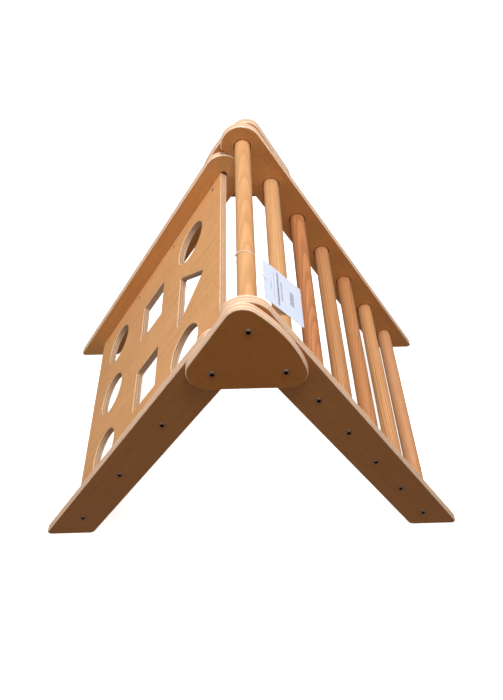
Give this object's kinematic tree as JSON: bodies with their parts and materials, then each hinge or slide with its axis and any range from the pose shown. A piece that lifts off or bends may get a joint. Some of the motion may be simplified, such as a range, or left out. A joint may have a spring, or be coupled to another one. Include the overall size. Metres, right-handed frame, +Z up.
{
  "type": "folding climbing triangle",
  "caption": "Folding wooden climbing triangle for toddlers: a ladder of round rungs and a board with round, square and triangular cut-outs, hinged under rounded gussets.",
  "frame": {"origin": "on the floor, under the middle of the top rung", "axes": "+Z up, +X from the climbing board towards the ladder side, +Y along the rungs towards the far side"},
  "size_m": [0.9108, 0.6194, 0.6775],
  "materials": {
    "plywood": "clear satin lacquer over birch plywood, pale layered edges",
    "board_ply": "clear satin lacquer over birch plywood, pale layered edges",
    "dowel": "clear satin lacquer over turned hardwood",
    "steel": "plated button heads",
    "nut_steel": "plated barrel nuts",
    "insert_brass": "plain",
    "card": "smooth coated card",
    "string": "thin twisted string"
  },
  "bodies": {
    "ladder_frame": {"ladder_leg_near": "plywood", "ladder_leg_far": "plywood", "rung_1": "dowel", "rung_2": "dowel", "rung_3": "dowel", "rung_4": "dowel", "rung_5": "dowel", "rung_6": "dowel", "rung_7": "dowel", "rung_inserts": "insert_brass", "gusset_near": "plywood", "gusset_far": "plywood", "gusset_screws_near": "steel", "gusset_screws_far": "steel", "rung_screws_near": "steel", "rung_screws_far": "steel", "hang_tag": "card", "tag_string": "string", "string_knot": "string"},
    "panel_frame": {"panel_leg_near": "plywood", "panel_leg_far": "plywood", "climbing_board": "board_ply", "barrel_nuts": "nut_steel", "panel_screws_near": "steel", "panel_screws_far": "steel", "pivot_screw_near": "steel", "pivot_screw_far": "steel"}
  },
  "joints": [
    {"name": "fold", "type": "hinge", "parent": "ladder_frame", "child": "panel_frame", "pos_m": [-0.06263, 0, 0.53256], "axis": [0, -1, 0], "range_deg": [0, 67]}
  ]
}
